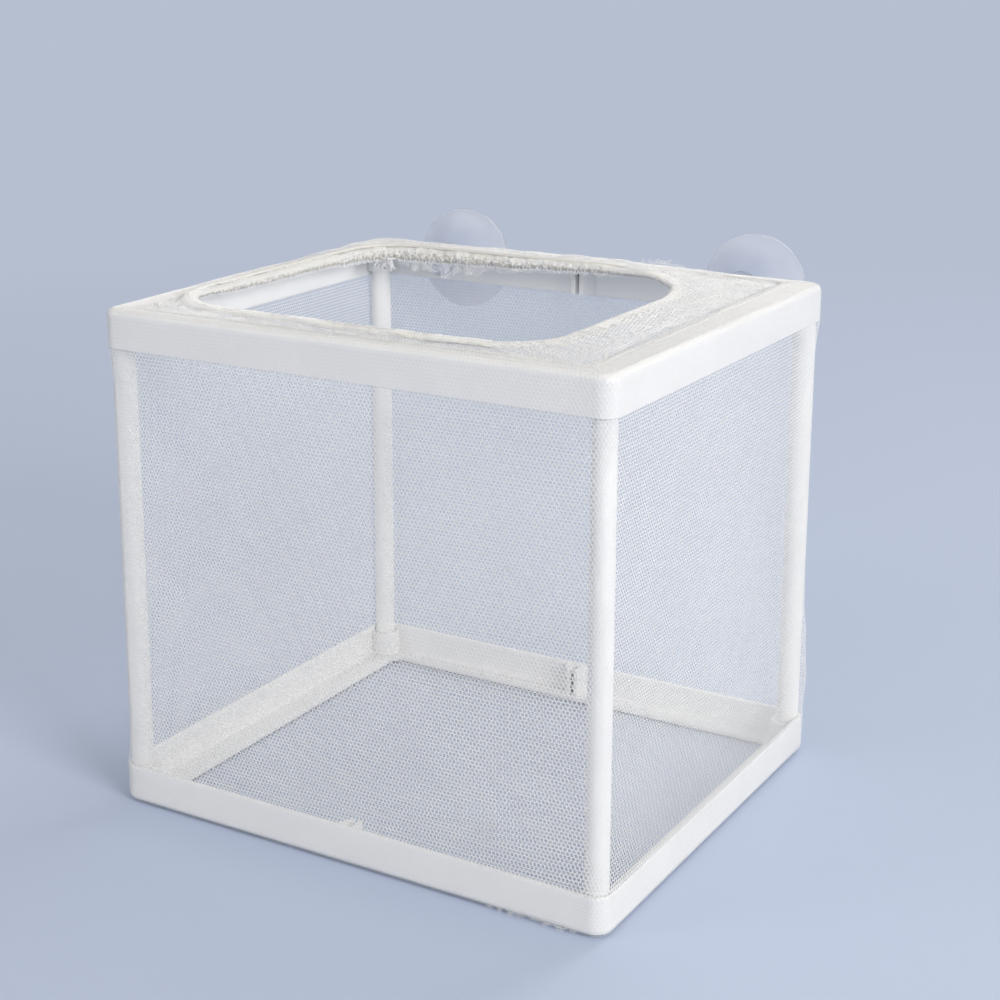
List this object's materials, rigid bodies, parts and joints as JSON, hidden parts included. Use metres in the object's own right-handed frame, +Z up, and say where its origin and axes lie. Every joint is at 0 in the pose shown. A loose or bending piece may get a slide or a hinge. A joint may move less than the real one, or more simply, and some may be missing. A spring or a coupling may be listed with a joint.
{
  "type": "fish breeding box",
  "caption": "Box-shaped net breeder for an aquarium: two ring frames on corner posts inside a mesh bag with an elastic mouth, hung by suction cups.",
  "frame": {"origin": "centre of the net box's footprint, on the underside of the bottom net", "axes": "+X along the long side, to the right seen from the front; +Y from the front to the back, towards the tank's glass; +Z up"},
  "size_m": [0.16, 0.1525, 0.1585],
  "materials": {
    "frame_plastic": "satin",
    "net": "matte",
    "hem": "matte",
    "elastic": "matte",
    "cup_vinyl": "gloss"
  },
  "bodies": {
    "box": {"bottom_ring": "frame_plastic", "top_ring": "frame_plastic", "front_left_post": "frame_plastic", "front_right_post": "frame_plastic", "back_left_post": "frame_plastic", "back_right_post": "frame_plastic", "front_net": "net", "right_net": "net", "back_net": "net", "left_net": "net", "bottom_net": "net", "top_net": "net", "mouth_hem": "hem", "mouth_elastic": "elastic"},
    "left_cup": {"left_suction_cup": "cup_vinyl"},
    "right_cup": {"right_suction_cup": "cup_vinyl"}
  },
  "joints": [
    {"name": "left_cup_turn", "type": "hinge", "parent": "box", "child": "left_cup", "pos_m": [-0.052, 0.0693, 0.142], "axis": [0, 1, 0], "continuous": true},
    {"name": "right_cup_turn", "type": "hinge", "parent": "box", "child": "right_cup", "pos_m": [0.052, 0.0693, 0.142], "axis": [0, 1, 0], "continuous": true}
  ]
}
